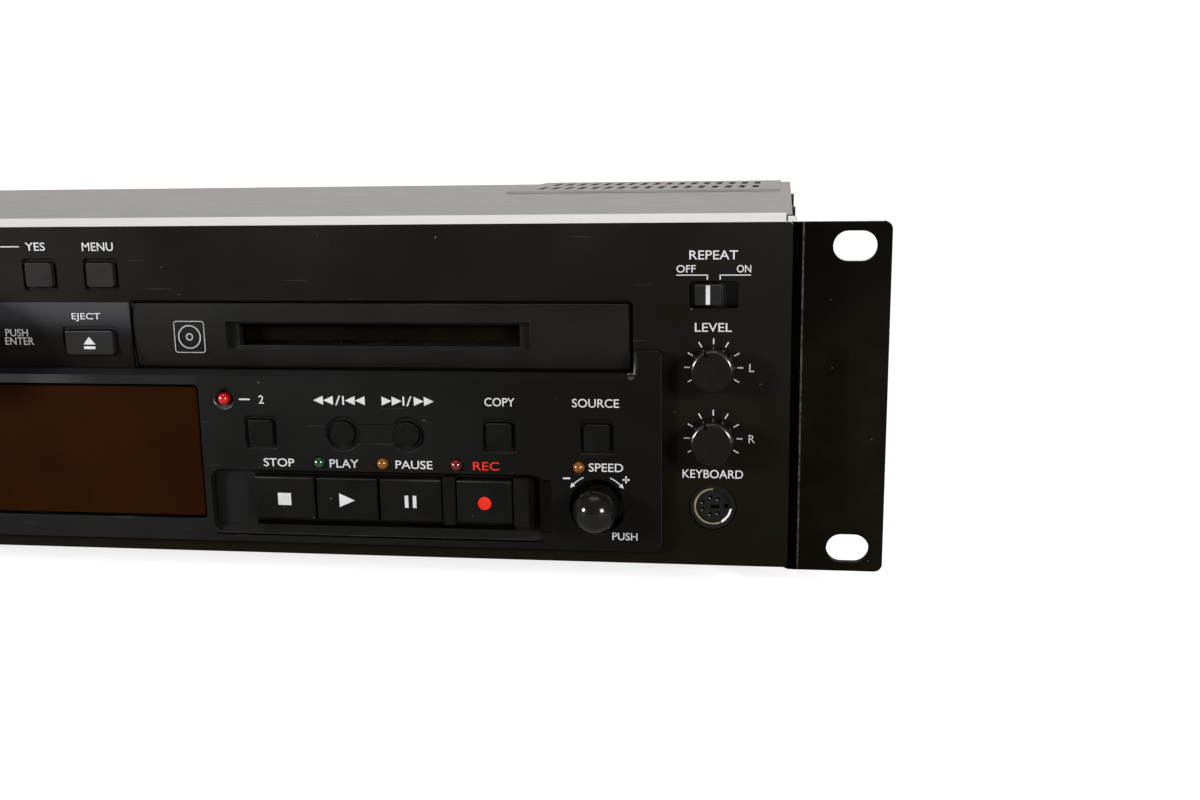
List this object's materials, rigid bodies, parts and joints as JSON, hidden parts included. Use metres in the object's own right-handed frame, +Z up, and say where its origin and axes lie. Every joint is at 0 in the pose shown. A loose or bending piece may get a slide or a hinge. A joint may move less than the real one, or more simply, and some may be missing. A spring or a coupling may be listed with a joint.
{
  "type": "minidisc deck",
  "caption": "Rack-mount disc deck, two units high, with a sliding disc tray, a minidisc slot with a dust flap, a wide display, push keys, a dial, level knobs and rack ears.",
  "frame": {"origin": "middle of the deck's bounding box in plan, at the feet's undersides", "axes": "+X along the front towards the right ear as seen from the front, +Y from the front to the back, +Z up"},
  "size_m": [0.4826, 0.308, 0.095],
  "materials": {
    "pan_steel": "satin",
    "cover_steel": "satin",
    "rear_steel": "satin",
    "ear_steel": "fine texture",
    "panel_black": "satin",
    "plate_black": "satin",
    "bezel_black": "satin",
    "window_smoke": "gloss",
    "tube_glass": "gloss",
    "mech_steel": "brushed",
    "spindle_metal": "satin",
    "pickup_dark": "satin",
    "foot_black": "matte",
    "screw_black": "satin",
    "board_green": "satin",
    "power_brown": "satin",
    "socket_chrome": "polished",
    "socket_brass": "satin",
    "lamp_red": "gloss",
    "frame_grey": "satin",
    "tray_black": "satin",
    "gear_white": "satin",
    "flap_brown": "satin",
    "knob_black": "satin",
    "shaft_steel": "brushed",
    "ball_black": "gloss",
    "slider_black": "satin",
    "key_black": "satin"
  },
  "bodies": {
    "deck": {"chassis_pan": "pan_steel", "top_cover": "cover_steel", "front_panel": "panel_black", "centre_plate": "plate_black", "display_window": "window_smoke", "display_tube": "tube_glass", "md_bezel": "bezel_black", "md_frame": "mech_steel", "rear_panel": "rear_steel", "rack_ear_left": "ear_steel", "rack_ear_right": "ear_steel", "feet": "foot_black", "screws": "screw_black", "main_board": "board_green", "power_board": "power_brown", "front_board": "board_green", "front_sockets": "socket_chrome", "rear_sockets": "socket_brass", "status_lamps": "lamp_red", "cd_frame": "frame_grey"},
    "tray": {"cd_tray": "tray_black", "tray_front": "bezel_black"},
    "tray_gear": {"tray_gear": "gear_white"},
    "cd_lift": {"cd_lift": "mech_steel"},
    "cd_spindle": {"cd_spindle": "spindle_metal"},
    "cd_pickup": {"cd_pickup": "pickup_dark"},
    "md_flap": {"md_flap": "flap_brown"},
    "md_spindle": {"md_spindle": "spindle_metal"},
    "md_pickup": {"md_pickup": "pickup_dark"},
    "dial_shaft": {"dial_shaft": "shaft_steel"},
    "dial_knob": {"dial_knob": "knob_black"},
    "pitch_shaft_right": {"pitch_shaft_right": "shaft_steel"},
    "pitch_knob_right": {"pitch_knob_right": "ball_black"},
    "pitch_shaft_left": {"pitch_shaft_left": "shaft_steel"},
    "pitch_knob_left": {"pitch_knob_left": "ball_black"},
    "input_knob_upper": {"input_knob_upper": "knob_black"},
    "input_knob_lower": {"input_knob_lower": "knob_black"},
    "phones_knob": {"phones_knob": "knob_black"},
    "play_mode_switch": {"play_mode_switch": "slider_black"},
    "timer_switch": {"timer_switch": "slider_black"},
    "power_key": {"power_key": "key_black"},
    "yes_key": {"yes_key": "key_black"},
    "no_key": {"no_key": "key_black"},
    "menu_key": {"menu_key": "key_black"},
    "eject_key": {"eject_key": "key_black"},
    "open_key": {"open_key": "key_black"},
    "source_key": {"source_key": "key_black"},
    "skip_back_key": {"skip_back_key": "key_black"},
    "skip_on_key": {"skip_on_key": "key_black"},
    "dubbing_key": {"dubbing_key": "key_black"},
    "input_key": {"input_key": "key_black"},
    "stop_key": {"stop_key": "key_black"},
    "play_key": {"play_key": "key_black"},
    "pause_key": {"pause_key": "key_black"},
    "record_key": {"record_key": "key_black"},
    "cd_skip_back_key": {"cd_skip_back_key": "key_black"},
    "cd_skip_on_key": {"cd_skip_on_key": "key_black"},
    "cd_stop_key": {"cd_stop_key": "key_black"},
    "cd_play_key": {"cd_play_key": "key_black"},
    "cd_pause_key": {"cd_pause_key": "key_black"}
  },
  "joints": [
    {"name": "tray_slide", "type": "slide", "parent": "deck", "child": "tray", "axis": [0, -1, 0], "range_m": [0, 0.128]},
    {"name": "tray_gear_spin", "type": "hinge", "parent": "deck", "child": "tray_gear", "pos_m": [-0.1545, -0.116, 0.0619], "axis": [0, 0, 1], "range_deg": [-2, 920]},
    {"name": "cd_lift_raise", "type": "slide", "parent": "deck", "child": "cd_lift", "axis": [0, 0, 1], "range_m": [0, 0.0055]},
    {"name": "cd_spindle_spin", "type": "hinge", "parent": "cd_lift", "child": "cd_spindle", "pos_m": [-0.1145, -0.066, 0.0597], "axis": [0, 0, 1], "continuous": true},
    {"name": "cd_pickup_slide", "type": "slide", "parent": "cd_lift", "child": "cd_pickup", "axis": [0, 1, 0], "range_m": [0, 0.034]},
    {"name": "md_flap_swing", "type": "hinge", "parent": "deck", "child": "md_flap", "pos_m": [0.1145, -0.1334, 0.0711], "axis": [1, 0, 0], "range_deg": [0, 85], "stiffness_Nm_per_rad": 0.0005},
    {"name": "md_spindle_spin", "type": "hinge", "parent": "deck", "child": "md_spindle", "pos_m": [0.1145, -0.088, 0.0597], "axis": [0, 0, 1], "continuous": true},
    {"name": "md_pickup_slide", "type": "slide", "parent": "deck", "child": "md_pickup", "axis": [0, 1, 0], "range_m": [0, 0.017]},
    {"name": "dial_push", "type": "slide", "parent": "deck", "child": "dial_shaft", "axis": [0, 1, 0], "range_m": [0, 0.0006], "stiffness_N_per_m": 2500},
    {"name": "dial_turn", "type": "hinge", "parent": "dial_shaft", "child": "dial_knob", "pos_m": [0, -0.14, 0.067], "axis": [0, -1, 0], "continuous": true},
    {"name": "pitch_push_right", "type": "slide", "parent": "deck", "child": "pitch_shaft_right", "axis": [0, 1, 0], "range_m": [0, 0.0006], "stiffness_N_per_m": 1500},
    {"name": "pitch_turn_right", "type": "hinge", "parent": "pitch_shaft_right", "child": "pitch_knob_right", "pos_m": [0.1704, -0.14, 0.0248], "axis": [0, -1, 0], "continuous": true},
    {"name": "pitch_push_left", "type": "slide", "parent": "deck", "child": "pitch_shaft_left", "axis": [0, 1, 0], "range_m": [0, 0.0006], "stiffness_N_per_m": 1500},
    {"name": "pitch_turn_left", "type": "hinge", "parent": "pitch_shaft_left", "child": "pitch_knob_left", "pos_m": [-0.1704, -0.14, 0.0248], "axis": [0, -1, 0], "continuous": true},
    {"name": "input_knob_upper_turn", "type": "hinge", "parent": "deck", "child": "input_knob_upper", "pos_m": [0.199, -0.14, 0.0598], "axis": [0, -1, 0], "range_deg": [-140, 140]},
    {"name": "input_knob_lower_turn", "type": "hinge", "parent": "deck", "child": "input_knob_lower", "pos_m": [0.199, -0.14, 0.0422], "axis": [0, -1, 0], "range_deg": [-140, 140]},
    {"name": "phones_knob_turn", "type": "hinge", "parent": "deck", "child": "phones_knob", "pos_m": [-0.199, -0.14, 0.0422], "axis": [0, -1, 0], "range_deg": [-140, 140]},
    {"name": "play_mode_slide", "type": "slide", "parent": "deck", "child": "play_mode_switch", "axis": [1, 0, 0], "range_m": [0, 0.0028]},
    {"name": "timer_slide", "type": "slide", "parent": "deck", "child": "timer_switch", "axis": [1, 0, 0], "range_m": [0, 0.0028]},
    {"name": "power_key_press", "type": "slide", "parent": "deck", "child": "power_key", "axis": [0, 1, 0], "range_m": [0, 0.0006], "stiffness_N_per_m": 1500},
    {"name": "yes_key_press", "type": "slide", "parent": "deck", "child": "yes_key", "axis": [0, 1, 0], "range_m": [0, 0.0006], "stiffness_N_per_m": 1500},
    {"name": "no_key_press", "type": "slide", "parent": "deck", "child": "no_key", "axis": [0, 1, 0], "range_m": [0, 0.0006], "stiffness_N_per_m": 1500},
    {"name": "menu_key_press", "type": "slide", "parent": "deck", "child": "menu_key", "axis": [0, 1, 0], "range_m": [0, 0.0006], "stiffness_N_per_m": 1500},
    {"name": "eject_key_press", "type": "slide", "parent": "deck", "child": "eject_key", "axis": [0, 1, 0], "range_m": [0, 0.0006], "stiffness_N_per_m": 1500},
    {"name": "open_key_press", "type": "slide", "parent": "deck", "child": "open_key", "axis": [0, 1, 0], "range_m": [0, 0.0006], "stiffness_N_per_m": 1500},
    {"name": "source_key_press", "type": "slide", "parent": "deck", "child": "source_key", "axis": [0, 1, 0], "range_m": [0, 0.0006], "stiffness_N_per_m": 1500},
    {"name": "skip_back_key_press", "type": "slide", "parent": "deck", "child": "skip_back_key", "axis": [0, 1, 0], "range_m": [0, 0.0006], "stiffness_N_per_m": 1500},
    {"name": "skip_on_key_press", "type": "slide", "parent": "deck", "child": "skip_on_key", "axis": [0, 1, 0], "range_m": [0, 0.0006], "stiffness_N_per_m": 1500},
    {"name": "dubbing_key_press", "type": "slide", "parent": "deck", "child": "dubbing_key", "axis": [0, 1, 0], "range_m": [0, 0.0006], "stiffness_N_per_m": 1500},
    {"name": "input_key_press", "type": "slide", "parent": "deck", "child": "input_key", "axis": [0, 1, 0], "range_m": [0, 0.0006], "stiffness_N_per_m": 1500},
    {"name": "stop_key_press", "type": "slide", "parent": "deck", "child": "stop_key", "axis": [0, 1, 0], "range_m": [0, 0.0006], "stiffness_N_per_m": 1500},
    {"name": "play_key_press", "type": "slide", "parent": "deck", "child": "play_key", "axis": [0, 1, 0], "range_m": [0, 0.0006], "stiffness_N_per_m": 1500},
    {"name": "pause_key_press", "type": "slide", "parent": "deck", "child": "pause_key", "axis": [0, 1, 0], "range_m": [0, 0.0006], "stiffness_N_per_m": 1500},
    {"name": "record_key_press", "type": "slide", "parent": "deck", "child": "record_key", "axis": [0, 1, 0], "range_m": [0, 0.0006], "stiffness_N_per_m": 1500},
    {"name": "cd_skip_back_key_press", "type": "slide", "parent": "deck", "child": "cd_skip_back_key", "axis": [0, 1, 0], "range_m": [0, 0.0006], "stiffness_N_per_m": 1500},
    {"name": "cd_skip_on_key_press", "type": "slide", "parent": "deck", "child": "cd_skip_on_key", "axis": [0, 1, 0], "range_m": [0, 0.0006], "stiffness_N_per_m": 1500},
    {"name": "cd_stop_key_press", "type": "slide", "parent": "deck", "child": "cd_stop_key", "axis": [0, 1, 0], "range_m": [0, 0.0006], "stiffness_N_per_m": 1500},
    {"name": "cd_play_key_press", "type": "slide", "parent": "deck", "child": "cd_play_key", "axis": [0, 1, 0], "range_m": [0, 0.0006], "stiffness_N_per_m": 1500},
    {"name": "cd_pause_key_press", "type": "slide", "parent": "deck", "child": "cd_pause_key", "axis": [0, 1, 0], "range_m": [0, 0.0006], "stiffness_N_per_m": 1500}
  ],
  "couplings": [
    {"joint": "tray_gear_spin", "follows": "tray_slide", "rad_per_m": 125}
  ]
}
